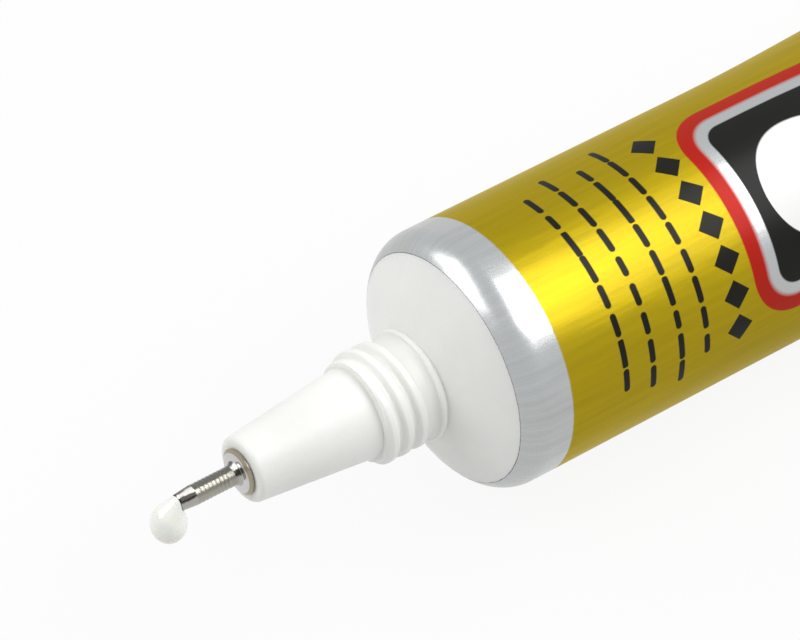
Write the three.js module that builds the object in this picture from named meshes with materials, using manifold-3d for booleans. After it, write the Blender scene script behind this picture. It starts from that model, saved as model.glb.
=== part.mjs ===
// Nail glue tube lying on its flat tail: a foil laminate sleeve sealed at the back, a white moulded
// head with a neck and a tapered nozzle, a pressed-in metal needle, the glue inside and a drop of it
// at the tip. Millimetres, +Z up, the nozzle points to -X and the tail to +X.

import * as THREE from 'three';
import { ConvexGeometry } from 'three/addons/geometries/ConvexGeometry.js';
import { mergeVertices } from 'three/addons/utils/BufferGeometryUtils.js';
import Module from 'manifold-3d';

// Sleeve. Lengths along the tube are counted from the rim plane, where the rolled edge ends.
const SLEEVE_DIAMETER = 19;
const SLEEVE_WALL = 0.35;
const SLEEVE_LENGTH = 106;
const BARREL_LENGTH = 30;
const SEAL_LENGTH = 7;
const SEAL_ROOT = 2.5;
const ROLL_RADIUS = 2.5;
const ROLL_SWEEP = THREE.MathUtils.degToRad(53);

// Head: skirt inside the sleeve, shoulder cone, bead, neck, nozzle
const BOND_GAP = 0.1;
const SKIRT_LENGTH = 5;
const SKIRT_WALL = 0.9;
const SHOULDER_RISE = 2.5;
const SHOULDER_WALL = 1.2;
const BEAD_DIAMETER = 8.2;
const BEAD_HEIGHT = 0.6;
const NECK_DIAMETER = 7.3;
const NECK_LENGTH = 4.3;
const NECK_CHAMFER = 0.25;
const NOZZLE_BASE_DIAMETER = 6.6;
const NOZZLE_TIP_DIAMETER = 4.8;
const NOZZLE_LENGTH = 9.35;
const NOZZLE_EDGE = 0.4;
const FLOW_BORE_DIAMETER = 3;

// Needle: barbed shank inside the nozzle, bevelled flange on its end, shaft with a tapered end
const NEEDLE_GAP = 0.06;
const NEEDLE_DIAMETER = 1.45;
const NEEDLE_REACH = 4.7;
const NEEDLE_TIP_DIAMETER = 1.18;
const NEEDLE_TAPER_LENGTH = 1.5;
const NEEDLE_BORE_DIAMETER = 0.7;
const FLANGE_DIAMETER = 3.36;
const FLANGE_FACE_DIAMETER = 2.66;
const FLANGE_RIM = 0.15;
const FLANGE_THICKNESS = 0.35;
const FLANGE_FILLET = 0.3;
const SHANK_DIAMETER = 1.8;
const SHANK_LENGTH = 5.5;
const BARB_COUNT = 3;
const BARB_PITCH = 1.2;
const BARB_HEIGHT = 0.1;

// Glue: clearance of the fill to its walls, and the drop that hangs from the needle
const FILL_GAP = 0.1;
const DROP_GAP = 0.05;
const DROP_DIAMETER = 2.54;
const DROP_HALF_HEIGHT = 1.65;
const DROP_AHEAD = 0.78;
const DROP_BELOW = 1.6;

// Facets
const SLEEVE_SIDES = 48;
const HEAD_SIDES = 48;
const NEEDLE_SIDES = 24;
const FLATTEN_STEPS = 10;
const ROLL_STEPS = 6;
const ARC_STEPS = 3;
const DROP_SIDES = 16;
const MERGE_DISTANCE = 1e-5;

const wasm = await Module();
wasm.setup();

// Sizes that follow from the ones above
const sleeveRadius = SLEEVE_DIAMETER / 2;
const sealThickness = 2 * SLEEVE_WALL;
const sealFront = SEAL_LENGTH - SLEEVE_LENGTH;
const cavityEnd = sealFront + SEAL_ROOT;
const rollCentreRadius = sleeveRadius - ROLL_RADIUS;
const rollStart = -ROLL_RADIUS * Math.sin(ROLL_SWEEP);
const rimLineSweep = ROLL_SWEEP + BOND_GAP / ROLL_RADIUS;
const shoulderFoot = onRoll(ROLL_RADIUS, rimLineSweep);
const beadFoot = shoulderFoot.y + SHOULDER_RISE;
const neckFoot = beadFoot + BEAD_HEIGHT;
const nozzleFoot = neckFoot + NECK_LENGTH;
const nozzleEnd = nozzleFoot + NOZZLE_LENGTH;
const skirtEnd = rollStart - SKIRT_LENGTH;
const skirtOuterRadius = sleeveRadius - SLEEVE_WALL - BOND_GAP;
const skirtInnerRadius = skirtOuterRadius - SKIRT_WALL;
const flowBoreRadius = FLOW_BORE_DIAMETER / 2;
const flangeBack = nozzleEnd + NEEDLE_GAP;
const flangeFace = flangeBack + FLANGE_THICKNESS;
const needleEnd = flangeFace + NEEDLE_REACH;
const shankEnd = flangeBack - SHANK_LENGTH;
const shankBoreRadius = SHANK_DIAMETER / 2 + BARB_HEIGHT + NEEDLE_GAP;
const shankBoreEnd = shankEnd - NEEDLE_GAP;

// Point of the rolled edge at a distance from the centre of its bend, in (radius, height)
function onRoll(distance, sweep) {
  const x = rollCentreRadius + distance * Math.cos(sweep);
  const y = rollStart + distance * Math.sin(sweep);
  return new THREE.Vector2(x, y);
}

// Ring of points round the tube at height y: two half circles pulled apart by flats of a width.
// The sides are centred on the flats, so that the flats are plane and a round ring stays round.
function ring(y, thickness, flat, sides) {
  return Array.from({ length: sides }, (_, side) => {
    const turn = 2 * Math.PI * (side + 0.5) / sides;
    const x = Math.sign(Math.sin(turn)) * flat / 2 + thickness / 2 * Math.sin(turn);
    return new THREE.Vector3(x, y, thickness / 2 * Math.cos(turn));
  });
}

// Closed skin over rings of equally many points, with a fan over the first and the last ring.
// The points of a ring run right-handed round the direction in which the rings follow each other.
function skin(rings) {
  const sides = rings[0].length;
  const points = rings.flat();
  const index = [];
  for (let level = 0; level + 1 < rings.length; level += 1) {
    for (let side = 0; side < sides; side += 1) {
      const a = level * sides + side;
      const b = level * sides + (side + 1) % sides;
      index.push(a, b, a + sides, b, b + sides, a + sides);
    }
  }
  const fan = (first, reversed) => {
    const centre = points.length;
    const middle = new THREE.Vector3();
    points.slice(first, first + sides).forEach((p) => middle.addScaledVector(p, 1 / sides));
    points.push(middle);
    for (let side = 0; side < sides; side += 1) {
      const a = first + side;
      const b = first + (side + 1) % sides;
      index.push(centre, reversed ? b : a, reversed ? a : b);
    }
  };
  fan(0, true);
  fan((rings.length - 1) * sides, false);
  const geometry = new THREE.BufferGeometry().setFromPoints(points);
  geometry.setIndex(index);
  return geometry;
}

// Manifold solid of a closed geometry, with shared corners merged and collapsed faces left out
function solidOf(geometry) {
  const bare = geometry.clone();
  bare.deleteAttribute('normal');
  bare.deleteAttribute('uv');
  const merged = mergeVertices(bare, MERGE_DISTANCE);
  const corners = merged.index.array;
  const triangles = [];
  for (let i = 0; i < corners.length; i += 3) {
    const [a, b, c] = [corners[i], corners[i + 1], corners[i + 2]];
    if (a !== b && b !== c && c !== a) {
      triangles.push(a, b, c);
    }
  }
  return new wasm.Manifold(new wasm.Mesh({
    numProp: 3,
    vertProperties: new Float32Array(merged.attributes.position.array),
    triVerts: new Uint32Array(triangles),
  }));
}

// Geometry of a manifold solid
function geometryOf(solid) {
  const mesh = solid.getMesh();
  const geometry = new THREE.BufferGeometry();
  geometry.setAttribute('position', new THREE.BufferAttribute(mesh.vertProperties, 3));
  geometry.setIndex(new THREE.BufferAttribute(mesh.triVerts, 1));
  return geometry;
}

// Solid of revolution about the tube's axis from a closed path in (radius, height)
function turned(path, sides) {
  path.closePath();
  return new THREE.LatheGeometry(path.getPoints(ARC_STEPS), sides);
}

// Thickness of the tube at a height behind the barrel, from round to sealed flat
function thicknessAt(y) {
  const share = (-BARREL_LENGTH - y) / (SLEEVE_LENGTH - SEAL_LENGTH - BARREL_LENGTH);
  return THREE.MathUtils.lerp(SLEEVE_DIAMETER, sealThickness, share);
}

// Width of the flats that keeps the girth of the sleeve at a thickness
function flatAt(thickness) {
  return Math.PI * (SLEEVE_DIAMETER - thickness) / 2;
}

// Heights of the sleeve's sections from the end of the barrel to an end further back
function flattenHeights(end) {
  return Array.from({ length: FLATTEN_STEPS + 1 }, (_, step) => {
    return THREE.MathUtils.lerp(-BARREL_LENGTH, end, step / FLATTEN_STEPS);
  });
}

// Section of the tube at a height, drawn in from its outside by an inset
function tubeRing(y, inset) {
  const thickness = thicknessAt(y);
  return ring(y, thickness - 2 * inset, flatAt(thickness), SLEEVE_SIDES);
}

// Sleeve: outside from the trimmed tail to the rolled rim, then inside back to the sealed root
function sleeveGeometry() {
  const sweeps = Array.from({ length: ROLL_STEPS + 1 }, (_, step) => ROLL_SWEEP * step / ROLL_STEPS);
  const rolled = (distance) => sweeps.map((sweep) => {
    const point = onRoll(distance, sweep);
    return ring(point.y, 2 * point.x, 0, SLEEVE_SIDES);
  });
  return skin([
    ring(-SLEEVE_LENGTH, sealThickness, flatAt(sealThickness), SLEEVE_SIDES),
    ...flattenHeights(sealFront).map((y) => tubeRing(y, 0)).reverse(),
    ...rolled(ROLL_RADIUS),
    ...rolled(ROLL_RADIUS - SLEEVE_WALL).reverse(),
    ...flattenHeights(cavityEnd).map((y) => tubeRing(y, SLEEVE_WALL)),
  ]);
}

// Head: outside from the skirt to the nozzle's end, then down through the bore
function headProfile() {
  const path = new THREE.Path();
  const bedRadius = ROLL_RADIUS - SLEEVE_WALL - BOND_GAP;
  const beadHalf = BEAD_HEIGHT / 2;
  const beadCore = BEAD_DIAMETER / 2 - beadHalf;
  const neckRadius = NECK_DIAMETER / 2;
  const tipRadius = NOZZLE_TIP_DIAMETER / 2;
  path.moveTo(skirtInnerRadius, skirtEnd);
  path.lineTo(skirtOuterRadius, skirtEnd);
  path.lineTo(skirtOuterRadius, rollStart);
  path.absarc(rollCentreRadius, rollStart, bedRadius, 0, rimLineSweep, false);
  path.lineTo(shoulderFoot.x, shoulderFoot.y);
  path.lineTo(beadCore, beadFoot);
  path.absarc(beadCore, beadFoot + beadHalf, beadHalf, -Math.PI / 2, Math.PI / 2, false);
  path.lineTo(neckRadius, neckFoot);
  path.lineTo(neckRadius, nozzleFoot - NECK_CHAMFER);
  path.lineTo(neckRadius - NECK_CHAMFER, nozzleFoot);
  path.lineTo(NOZZLE_BASE_DIAMETER / 2, nozzleFoot);
  path.lineTo(tipRadius, nozzleEnd - NOZZLE_EDGE);
  path.absarc(tipRadius - NOZZLE_EDGE, nozzleEnd - NOZZLE_EDGE, NOZZLE_EDGE, 0, Math.PI / 2, false);
  path.lineTo(shankBoreRadius, nozzleEnd);
  path.lineTo(shankBoreRadius, shankBoreEnd);
  path.lineTo(flowBoreRadius, shankBoreEnd);
  path.lineTo(flowBoreRadius, beadFoot - SHOULDER_WALL);
  path.lineTo(skirtInnerRadius, shoulderFoot.y - SHOULDER_WALL);
  return path;
}

// Needle: barbed shank, flange, filleted shaft and tapered end, with one bore right through
function needleProfile() {
  const path = new THREE.Path();
  const boreRadius = NEEDLE_BORE_DIAMETER / 2;
  const shankRadius = SHANK_DIAMETER / 2;
  const shaftRadius = NEEDLE_DIAMETER / 2;
  const flangeRadius = FLANGE_DIAMETER / 2;
  path.moveTo(boreRadius, shankEnd);
  path.lineTo(shankRadius, shankEnd);
  for (let barb = 1; barb <= BARB_COUNT; barb += 1) {
    const edge = shankEnd + barb * BARB_PITCH;
    path.lineTo(shankRadius + BARB_HEIGHT, edge);
    path.lineTo(shankRadius, edge);
  }
  path.lineTo(shankRadius, flangeBack);
  path.lineTo(flangeRadius, flangeBack);
  path.lineTo(flangeRadius, flangeBack + FLANGE_RIM);
  path.lineTo(FLANGE_FACE_DIAMETER / 2, flangeFace);
  path.lineTo(shaftRadius + FLANGE_FILLET, flangeFace);
  path.absarc(shaftRadius + FLANGE_FILLET, flangeFace + FLANGE_FILLET, FLANGE_FILLET,
    -Math.PI / 2, -Math.PI, true);
  path.lineTo(shaftRadius, needleEnd - NEEDLE_TAPER_LENGTH);
  path.lineTo(NEEDLE_TIP_DIAMETER / 2, needleEnd);
  path.lineTo(boreRadius, needleEnd);
  return path;
}

// Glue from the sealed root to the mouth of the needle, clear of every wall by the same gap
function fillGeometry() {
  const round = (radius, y) => ring(y, 2 * radius, 0, SLEEVE_SIDES);
  const skirtFillRadius = skirtInnerRadius - FILL_GAP;
  const boreFillRadius = flowBoreRadius - FILL_GAP;
  const needleFillRadius = NEEDLE_BORE_DIAMETER / 2 - FILL_GAP;
  return skin([
    ...flattenHeights(cavityEnd + FILL_GAP).map((y) => tubeRing(y, SLEEVE_WALL + FILL_GAP)).reverse(),
    round(sleeveRadius - SLEEVE_WALL - FILL_GAP, skirtEnd - FILL_GAP),
    round(skirtFillRadius, skirtEnd - FILL_GAP),
    round(skirtFillRadius, shoulderFoot.y - SHOULDER_WALL - 2 * FILL_GAP),
    round(boreFillRadius, beadFoot - SHOULDER_WALL - 2 * FILL_GAP),
    round(boreFillRadius, shankBoreEnd - FILL_GAP),
    round(needleFillRadius, shankBoreEnd - FILL_GAP),
    round(needleFillRadius, needleEnd),
  ]);
}

// Pitch at which the tube lies on its tail edge and on the end of the barrel
function restPitch() {
  const slopes = flattenHeights(sealFront).map((y) => {
    return (thicknessAt(y) - sealThickness) / 2 / (SLEEVE_LENGTH + y);
  });
  return Math.atan(Math.max(...slopes));
}

// Drop: the taut skin over a hanging bead and the needle's end, hollowed where the needle enters it
function dropGeometry(pitch) {
  const down = new THREE.Vector3(0, -Math.sin(pitch), -Math.cos(pitch));
  const ahead = new THREE.Vector3(0, Math.cos(pitch), -Math.sin(pitch));
  const mouth = new THREE.Vector3(0, needleEnd + DROP_GAP, 0);
  const bead = new THREE.SphereGeometry(DROP_DIAMETER / 2, DROP_SIDES, DROP_SIDES / 2);
  bead.scale(1, 2 * DROP_HALF_HEIGHT / DROP_DIAMETER, 1);
  bead.applyQuaternion(new THREE.Quaternion().setFromUnitVectors(new THREE.Vector3(0, -1, 0), down));
  const centre = mouth.clone().addScaledVector(ahead, DROP_AHEAD).addScaledVector(down, DROP_BELOW);
  bead.translate(centre.x, centre.y, centre.z);
  const points = Array.from({ length: bead.attributes.position.count }, (_, i) => {
    return new THREE.Vector3().fromBufferAttribute(bead.attributes.position, i);
  });
  for (let side = 0; side < DROP_SIDES; side += 1) {
    const angle = 2 * Math.PI * side / DROP_SIDES;
    const radius = NEEDLE_TIP_DIAMETER / 2;
    points.push(new THREE.Vector3(radius * Math.sin(angle), mouth.y, radius * Math.cos(angle)));
  }
  const needleSpace = new THREE.Path();
  const taperFoot = needleEnd - NEEDLE_TAPER_LENGTH;
  needleSpace.moveTo(0, taperFoot);
  needleSpace.lineTo(NEEDLE_DIAMETER / 2 + DROP_GAP, taperFoot);
  needleSpace.lineTo(NEEDLE_TIP_DIAMETER / 2 + DROP_GAP, mouth.y);
  needleSpace.lineTo(0, mouth.y);
  const body = solidOf(new ConvexGeometry(points));
  return geometryOf(body.subtract(solidOf(turned(needleSpace, NEEDLE_SIDES))));
}

// Named mesh of one piece
function piece(name, geometry, color, metalness) {
  const material = new THREE.MeshStandardMaterial({ color, metalness, roughness: 0.3 });
  const mesh = new THREE.Mesh(geometry, material);
  mesh.name = name;
  return mesh;
}

const pitch = restPitch();
const tube = new THREE.Group();
tube.add(
  piece('tube_sleeve', sleeveGeometry(), 0xc9a81e, 1),
  piece('nozzle_head', turned(headProfile(), HEAD_SIDES), 0xeeeee8, 0),
  piece('needle_tip', turned(needleProfile(), NEEDLE_SIDES), 0xb4aea4, 1),
  piece('adhesive_fill', fillGeometry(), 0xe1e4d7, 0),
  piece('adhesive_drop', dropGeometry(pitch), 0xe1e4d7, 0),
);

// The tube's axis is its own +Y; its flats face up and down once it lies on the table
const lying = new THREE.Matrix4().makeBasis(
  new THREE.Vector3(0, 1, 0),
  new THREE.Vector3(-Math.cos(pitch), 0, Math.sin(pitch)),
  new THREE.Vector3(Math.sin(pitch), 0, Math.cos(pitch)),
);
tube.setRotationFromMatrix(lying);

// The origin is on the table, below the middle of the tube's box
const part = new THREE.Group();
part.add(tube);
const box = new THREE.Box3().setFromObject(part, true);
const middle = box.getCenter(new THREE.Vector3());
tube.position.set(-middle.x, -middle.y, -box.min.z);

export default part;
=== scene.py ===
"""Looks of a nail glue tube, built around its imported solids.

Pieces are modelled in the tube's own axes and then laid into the row frame: x runs across the flat
tail, y along the tube towards the tip with 0 at the rolled rim, z along the normal of the flat tail.
Sizes are in millimetres unless a name says otherwise.
"""

import logging
import math
from abc import ABC, abstractmethod
from collections.abc import Iterable
from dataclasses import dataclass, field
from enum import Enum
from typing import Protocol

import bmesh
import bpy
from mathutils import Matrix, Vector


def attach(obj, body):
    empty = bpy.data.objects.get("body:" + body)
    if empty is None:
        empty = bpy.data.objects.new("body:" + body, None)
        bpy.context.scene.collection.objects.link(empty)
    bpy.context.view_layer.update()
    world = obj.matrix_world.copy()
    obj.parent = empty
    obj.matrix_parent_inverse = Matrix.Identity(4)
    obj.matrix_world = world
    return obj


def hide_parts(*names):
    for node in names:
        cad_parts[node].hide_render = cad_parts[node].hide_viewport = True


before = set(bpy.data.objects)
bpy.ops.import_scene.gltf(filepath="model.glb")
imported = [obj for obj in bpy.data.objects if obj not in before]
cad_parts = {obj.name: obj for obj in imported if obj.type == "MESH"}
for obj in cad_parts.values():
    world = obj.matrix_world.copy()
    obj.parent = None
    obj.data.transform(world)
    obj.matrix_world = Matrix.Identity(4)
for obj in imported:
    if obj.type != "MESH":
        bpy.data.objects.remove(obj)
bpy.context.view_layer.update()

LOG = logging.getLogger("glue_tube")
MM = 0.001
TINY = 1e-9
SLEEVE_DIAMETER = 19.0

Point = tuple[float, float]
Colour = tuple[float, float, float]
Ring = tuple[float, float, float]
Streak = tuple[float, float, float]
Piece = bpy.types.Object
Edge = bmesh.types.BMEdge
Material = bpy.types.Material
Socket = bpy.types.NodeSocket
Feed = Socket | float

WHITE: Colour = (1.0, 1.0, 1.0)
UNIT_BAND: Point = (0.0, 1.0)
NOISE_BAND: Point = (0.3, 0.7)

# Places of the sockets of a Mix node: its share and its two values, and its colour result.
MIX_NUMBERS = (0, 2, 3)
MIX_COLOURS = (0, 6, 7)
MIX_COLOUR_RESULT = 2


class Body(Enum):
    """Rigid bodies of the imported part."""

    TUBE = "root"


class Slot(Enum):
    """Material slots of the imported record."""

    FOIL = "gold_foil"
    MOULDING = "white_plastic"
    NEEDLE = "nickel"
    GLUE = "glue"


class Node(Enum):
    """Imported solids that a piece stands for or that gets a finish."""

    SLEEVE = "tube_sleeve"
    HEAD = "nozzle_head"
    NEEDLE = "needle_tip"
    FILL = "adhesive_fill"
    DROP = "adhesive_drop"


@dataclass(frozen=True)
class TubeAxes:
    """Where the tube lies: the centre of its rim and how far its nose is lifted."""

    rim: tuple[float, float, float] = (-40.710353, 0.0, 13.017091)
    pitch_deg: float = 6.865068

    def across(self) -> Vector:
        """Direction across the flat tail."""
        return Vector((0.0, 1.0, 0.0))

    def along(self) -> Vector:
        """Direction of the tube's axis towards the tip."""
        pitch = math.radians(self.pitch_deg)
        return Vector((-math.cos(pitch), 0.0, math.sin(pitch)))

    def normal(self) -> Vector:
        """Upward normal of the flat tail."""
        pitch = math.radians(self.pitch_deg)
        return Vector((math.sin(pitch), 0.0, math.cos(pitch)))

    def matrix(self) -> Matrix:
        """Matrix from the tube's axes to the row frame, both in metres."""
        turn = Matrix((self.across(), self.along(), self.normal())).transposed().to_4x4()
        return Matrix.Translation(Vector(self.rim) * MM) @ turn


def arc(centre: Point, radius: float, start_deg: float, end_deg: float, steps: int) -> list[Point]:
    """Points on an arc of a profile.

    Args:
        centre: Centre in (radius, height).
        radius: Radius of the arc.
        start_deg: Angle of the first point, from the radial direction towards the tip.
        end_deg: Angle of the last point.
        steps: Number of straight pieces.

    Returns:
        The points, both ends included.
    """
    angles = [math.radians(start_deg + (end_deg - start_deg) * i / steps) for i in range(steps + 1)]
    return [(centre[0] + radius * math.cos(a), centre[1] + radius * math.sin(a)) for a in angles]


def smooth_step(low: float, high: float, value: float) -> float:
    """Share from 0 at low to 1 at high, with soft ends."""
    share = min(1.0, max(0.0, (value - low) / (high - low)))
    return share * share * (3.0 - 2.0 * share)


class Bench:
    """Modelling steps that the pieces share."""

    @staticmethod
    def clear() -> None:
        """Leaves edit mode and deselects every object."""
        if bpy.context.mode != "OBJECT":
            bpy.ops.object.mode_set(mode="OBJECT")
        bpy.ops.object.select_all(action="DESELECT")

    @staticmethod
    def pick(obj: Piece) -> None:
        """Selects one object alone and makes it the active one.

        Args:
            obj: The object.
        """
        Bench.clear()
        obj.select_set(True)
        bpy.context.view_layer.objects.active = obj

    @staticmethod
    def lathe(name: str, profile: Iterable[Point], sides: int) -> Piece:
        """Turns a closed profile about the tube's axis.

        Args:
            name: Name of the piece.
            profile: Points in (radius, height), the last one equal to the first.
            sides: Number of sides round the axis.

        Returns:
            The turned solid, in the tube's axes.
        """
        points = [Vector((r * MM, y * MM, 0.0)) for r, y in profile]
        Bench.clear()
        bpy.ops.mesh.primitive_plane_add(size=MM, location=(0.0, 0.0, 0.0))
        obj = bpy.context.object
        obj.name = name
        bpy.context.tool_settings.mesh_select_mode = (True, False, False)
        bpy.ops.object.mode_set(mode="EDIT")
        bpy.ops.mesh.merge(type="CENTER")
        bpy.ops.transform.translate(value=points[0])
        for here, there in zip(points, points[1:]):
            bpy.ops.mesh.extrude_vertices_move(TRANSFORM_OT_translate={"value": there - here})
        bpy.ops.mesh.select_all(action="SELECT")
        bpy.ops.mesh.spin(steps=sides, angle=math.tau, center=(0, 0, 0), axis=(0, 1, 0))
        Bench.close_up()
        bpy.ops.object.mode_set(mode="OBJECT")
        return obj

    @staticmethod
    def close_up(reach: float = 0.0001) -> None:
        """Merges the corners of the mesh in edit mode and turns its faces outwards.

        Args:
            reach: Corners closer than this are merged.
        """
        bpy.ops.mesh.select_all(action="SELECT")
        bpy.ops.mesh.remove_doubles(threshold=reach * MM)
        bpy.ops.mesh.normals_make_consistent(inside=False)

    @staticmethod
    def apply(obj: Piece, modifier: bpy.types.Modifier) -> None:
        """Applies a modifier of an object."""
        Bench.pick(obj)
        bpy.ops.object.modifier_apply(modifier=modifier.name)

    @staticmethod
    def settle(obj: Piece, axes: TubeAxes, crease_deg: float) -> None:
        """Lays a finished piece into the row frame and smooths its shading.

        Args:
            obj: Piece in the tube's axes.
            axes: Where the tube lies.
            crease_deg: Edges sharper than this stay sharp.
        """
        Bench.pick(obj)
        obj.matrix_world = axes.matrix() @ obj.matrix_world
        bpy.ops.object.transform_apply(location=True, rotation=True, scale=True)
        bpy.ops.object.shade_smooth_by_angle(angle=math.radians(crease_deg))

    @staticmethod
    def hand_over(obj: Piece, node: Node, slot: Slot, finish: Material) -> None:
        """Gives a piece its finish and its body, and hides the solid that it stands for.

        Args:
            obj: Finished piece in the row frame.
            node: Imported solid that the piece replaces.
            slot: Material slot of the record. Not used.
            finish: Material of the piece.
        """
        obj.data.materials.clear()
        obj.data.materials.append(finish)
        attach(obj, Body.TUBE.value)
        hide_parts(node.value)
        LOG.info("%s: %d faces, stands for %s", obj.name, len(obj.data.polygons), node.value)


class Recipe:
    """Node tree of one finish, written as plain sums."""

    def __init__(self, name: str) -> None:
        """Starts an empty material with one shader and its output.

        Args:
            name: Name of the material.
        """
        self.material = bpy.data.materials.new(name)
        self.material.use_nodes = True
        self.tree = self.material.node_tree
        self.tree.nodes.clear()
        self.shader = self.node("ShaderNodeBsdfPrincipled")
        self.output = self.node("ShaderNodeOutputMaterial")
        self.feed(self.output.inputs["Surface"], self.shader.outputs["BSDF"])

    def node(self, kind: str, **settings: object) -> bpy.types.Node:
        """Adds a node.

        Args:
            kind: Type of the node.
            settings: Properties to set on it, by name.

        Returns:
            The new node.
        """
        made = self.tree.nodes.new(kind)
        for name, value in settings.items():
            setattr(made, name, value)
        return made

    def feed(self, socket: Socket, value: object) -> None:
        """Feeds an input of a node.

        Args:
            socket: Input to feed.
            value: Output to link into it, or a constant to set on it.
        """
        if isinstance(value, Socket):
            self.tree.links.new(value, socket)
        else:
            socket.default_value = value

    def feed_all(self, sockets: Iterable[Socket], values: Iterable[object]) -> None:
        """Feeds inputs one by one."""
        for socket, value in zip(sockets, values):
            self.feed(socket, value)

    def math(self, operation: str, *values: Feed, clamp: bool = False) -> Socket:
        """Works out one operation.

        Args:
            operation: Name of the operation.
            values: Up to three values.
            clamp: Whether the result is kept between 0 and 1.

        Returns:
            The result.
        """
        made = self.node("ShaderNodeMath", operation=operation, use_clamp=clamp)
        self.feed_all(made.inputs, values)
        return made.outputs[0]

    def fold(self, operation: str, values: Iterable[Feed]) -> Feed:
        """Joins values one after another.

        Args:
            operation: Name of the operation that joins two.
            values: Values in order.

        Returns:
            The result.
        """
        first, *rest = values
        for value in rest:
            first = self.math(operation, first, value)
        return first

    def add(self, *values: Feed) -> Feed:
        """Sum of all the values."""
        return self.fold("ADD", values)

    def times(self, *values: Feed) -> Feed:
        """Product of all the values, or the mask that is 1 where all the masks are."""
        return self.fold("MULTIPLY", values)

    def either(self, *masks: Feed) -> Feed:
        """Mask that is 1 where any of the masks is."""
        return self.fold("MAXIMUM", masks)

    def less(self, value: Feed, taken: Feed) -> Socket:
        """Value less another."""
        return self.math("SUBTRACT", value, taken)

    def without(self, mask: Feed, other: Feed) -> Socket:
        """Mask that leaves out another."""
        return self.math("SUBTRACT", mask, other, clamp=True)

    def away(self, value: Feed, centre: float = 0.0) -> Socket:
        """Distance of a value from a centre."""
        return self.math("ABSOLUTE", self.less(value, centre) if centre else value)

    def diagonal(self, *sides: Feed) -> Socket:
        """Length of the diagonal over two sides at right angles."""
        return self.math("SQRT", self.add(*[self.math("POWER", side, 2.0) for side in sides]))

    def ramp(self, value: Feed, low: float, high: float, at_low: float, at_high: float) -> Socket:
        """Maps a value in a straight line and clamps it.

        Args:
            value: Value to map.
            low: Where the line starts.
            high: Where it ends.
            at_low: Result at the start.
            at_high: Result at the end.

        Returns:
            The mapped value.
        """
        made = self.node("ShaderNodeMapRange", clamp=True)
        self.feed_all(made.inputs, (value, low, high, at_low, at_high))
        return made.outputs[0]

    def vary(self, noise: Feed, band: Point, base: float, change: Point) -> Socket:
        """Base value that takes on two changes from one end of a band of noise to the other."""
        return self.ramp(noise, *band, base + change[0], base + change[1])

    def below(self, value: Feed, edge: Feed, soft: float) -> Socket:
        """Mask that is 1 where a value is below an edge, over a soft border."""
        share = self.math("DIVIDE", self.less(edge, value), soft)
        return self.math("ADD", share, 0.5, clamp=True)

    def blend(self, mask: Feed, under: object, over: object) -> Socket:
        """Goes from one colour to another.

        Args:
            mask: Share of the second colour.
            under: First colour, as numbers or as an output.
            over: Second colour.

        Returns:
            The blended colour.
        """
        made = self.node("ShaderNodeMix", data_type="RGBA")
        colours = [(*c, 1.0) if isinstance(c, tuple) else c for c in (under, over)]
        self.feed_all([made.inputs[i] for i in MIX_COLOURS], (mask, *colours))
        return made.outputs[MIX_COLOUR_RESULT]

    def mix(self, mask: Feed, under: Feed, over: Feed) -> Socket:
        """Goes from one number to another.

        Args:
            mask: Share of the second number.
            under: First number.
            over: Second number.

        Returns:
            The mixed number.
        """
        made = self.node("ShaderNodeMix", data_type="FLOAT")
        self.feed_all([made.inputs[i] for i in MIX_NUMBERS], (mask, under, over))
        return made.outputs[0]

    def place(self) -> Socket:
        """Place on the piece, in metres in the row frame."""
        return self.node("ShaderNodeTexCoord").outputs["Object"]

    def combine(self, *parts: Feed) -> Socket:
        """Joins three values.

        Args:
            parts: The values.

        Returns:
            Their vector.
        """
        made = self.node("ShaderNodeCombineXYZ")
        self.feed_all(made.inputs, parts)
        return made.outputs[0]

    def split(self, vector: Feed) -> tuple[Socket, ...]:
        """Splits a vector.

        Args:
            vector: The vector.

        Returns:
            Its three parts.
        """
        made = self.node("ShaderNodeSeparateXYZ")
        self.feed(made.inputs[0], vector)
        return tuple(made.outputs)

    def noise(self, vector: Feed, scale: float, detail: float = 2.0, roughness: float = 0.5) -> Socket:
        """Noise from 0 to 1.

        Args:
            vector: Place that the noise is read at.
            scale: How often it changes in one unit of the place.
            detail: Number of finer layers.
            roughness: Strength of the finer layers.

        Returns:
            The noise.
        """
        made = self.node("ShaderNodeTexNoise")
        sockets = [made.inputs[name] for name in ("Vector", "Scale", "Detail", "Roughness")]
        self.feed_all(sockets, (vector, scale, detail, roughness))
        return made.outputs["Fac"]

    def bump(self, height: Feed, depth: float, strength: float = 1.0) -> None:
        """Presses a height into the surface.

        Args:
            height: Height, where 1 is the full depth.
            depth: The full depth.
            strength: Share of the effect.
        """
        made = self.node("ShaderNodeBump")
        sockets = [made.inputs[name] for name in ("Strength", "Distance", "Height")]
        self.feed_all(sockets, (strength, depth * MM, height))
        self.feed(self.shader.inputs["Normal"], made.outputs["Normal"])

    def set(self, **inputs: object) -> None:
        """Feeds inputs of the shader.

        Args:
            inputs: Values by the names of the inputs, with _ for a space.
        """
        for name, value in inputs.items():
            plain_colour = name.endswith("Color") and isinstance(value, tuple)
            self.feed(self.shader.inputs[name.replace("_", " ")], (*value, 1.0) if plain_colour else value)


class Finish(Protocol):
    """Finish that a piece can be given."""

    def material(self) -> Material:
        """Builds the material."""


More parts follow.
